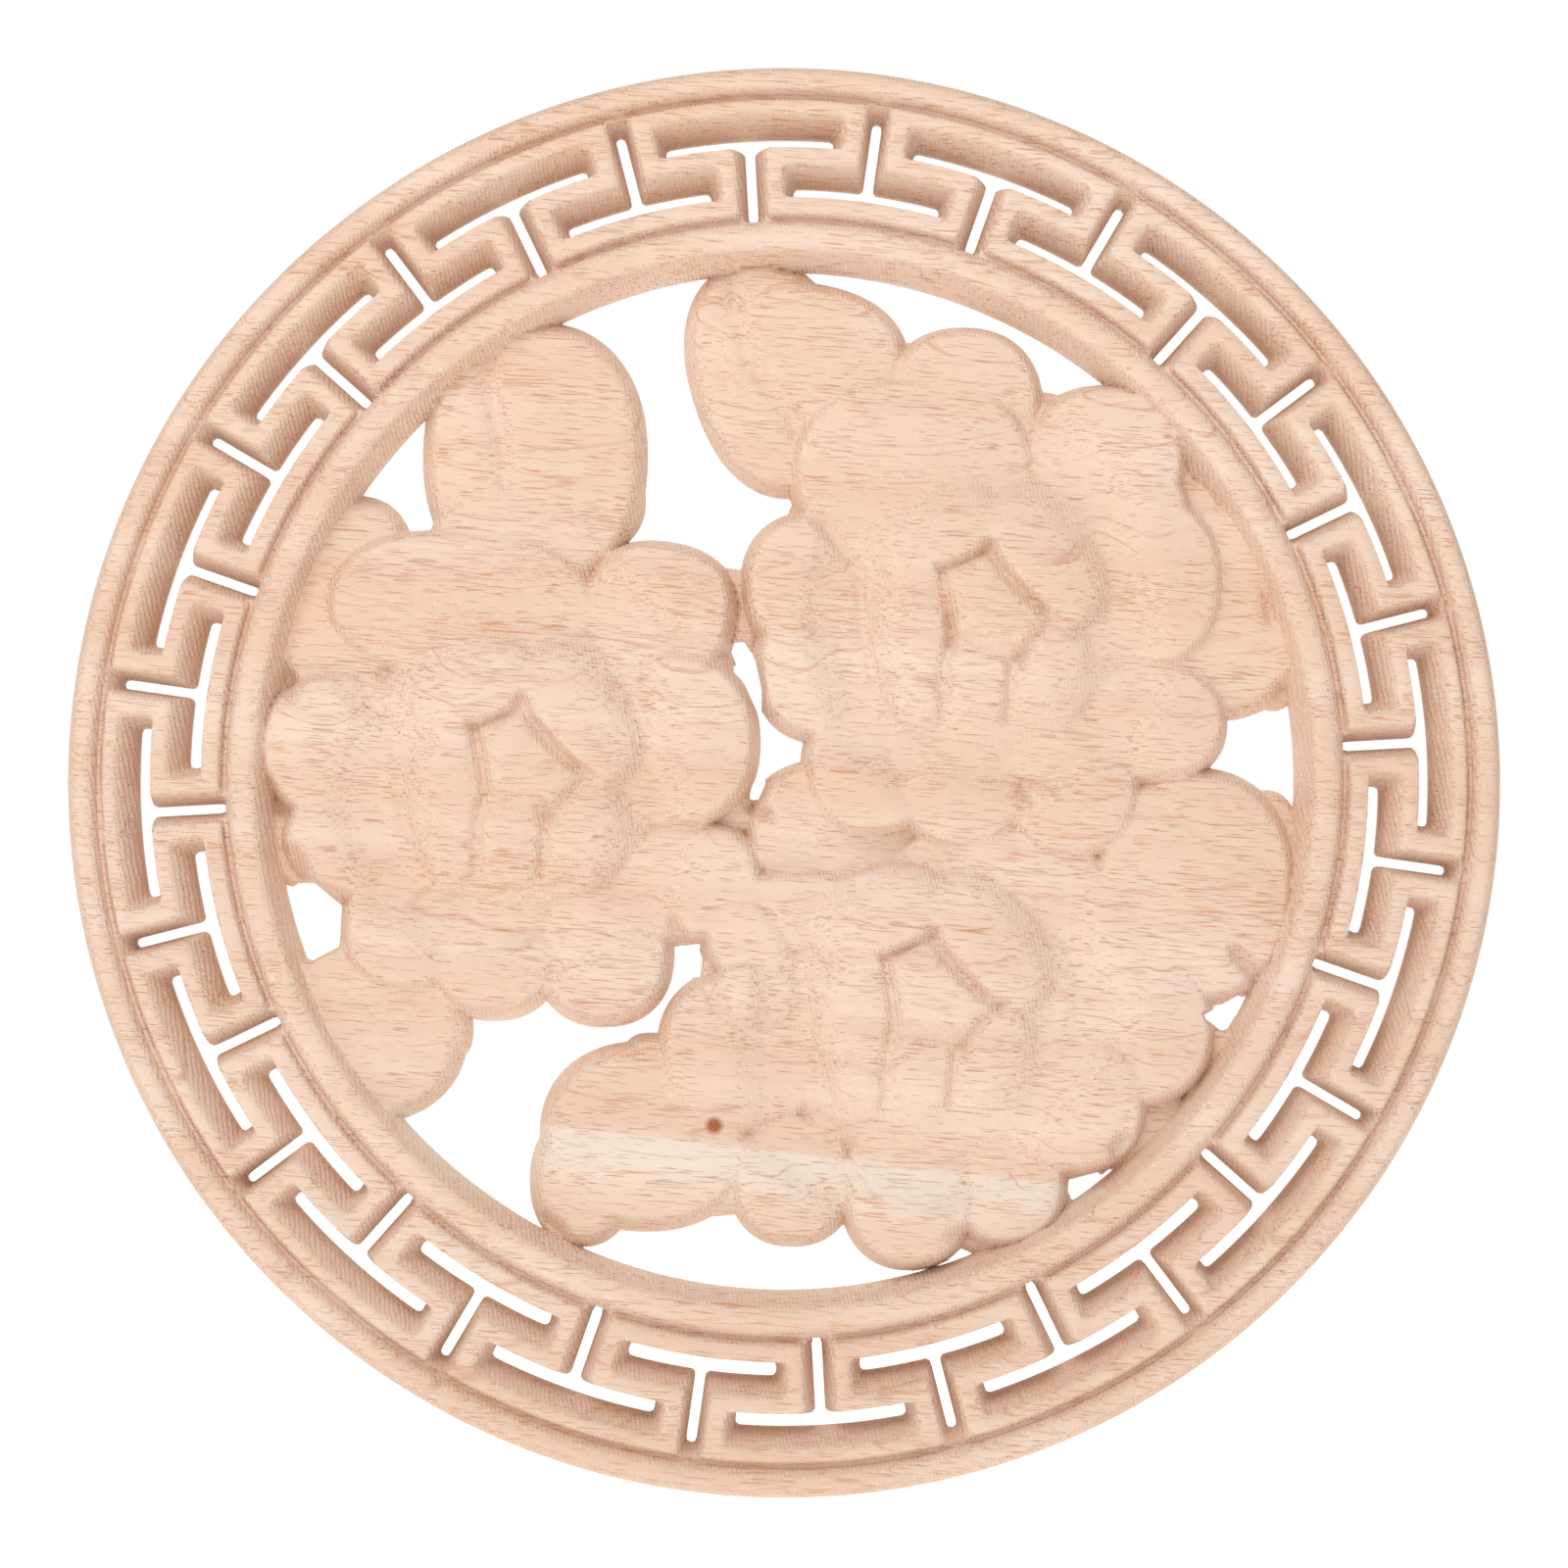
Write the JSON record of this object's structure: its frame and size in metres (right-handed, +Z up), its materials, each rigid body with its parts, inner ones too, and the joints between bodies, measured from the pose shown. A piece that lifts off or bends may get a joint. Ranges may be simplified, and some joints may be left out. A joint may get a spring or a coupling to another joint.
{
  "type": "carved wooden rosette",
  "caption": "Round pierced wooden rosette: peonies and leaves carved in relief inside a moulded ring with a Greek key fret.",
  "frame": {"origin": "the middle of the disc, in the plane of its flat back", "axes": "+Z up the picture, +X to the right of the picture, -Y out of the carved face; the flat back lies in the plane y = 0 and its outward normal is +Y"},
  "size_m": [0.3, 0.0128, 0.3],
  "materials": {
    "rubberwood": "bare, machine carved, unsanded"
  },
  "bodies": {
    "root": {"carved_rosette": "rubberwood"}
  },
  "joints": []
}
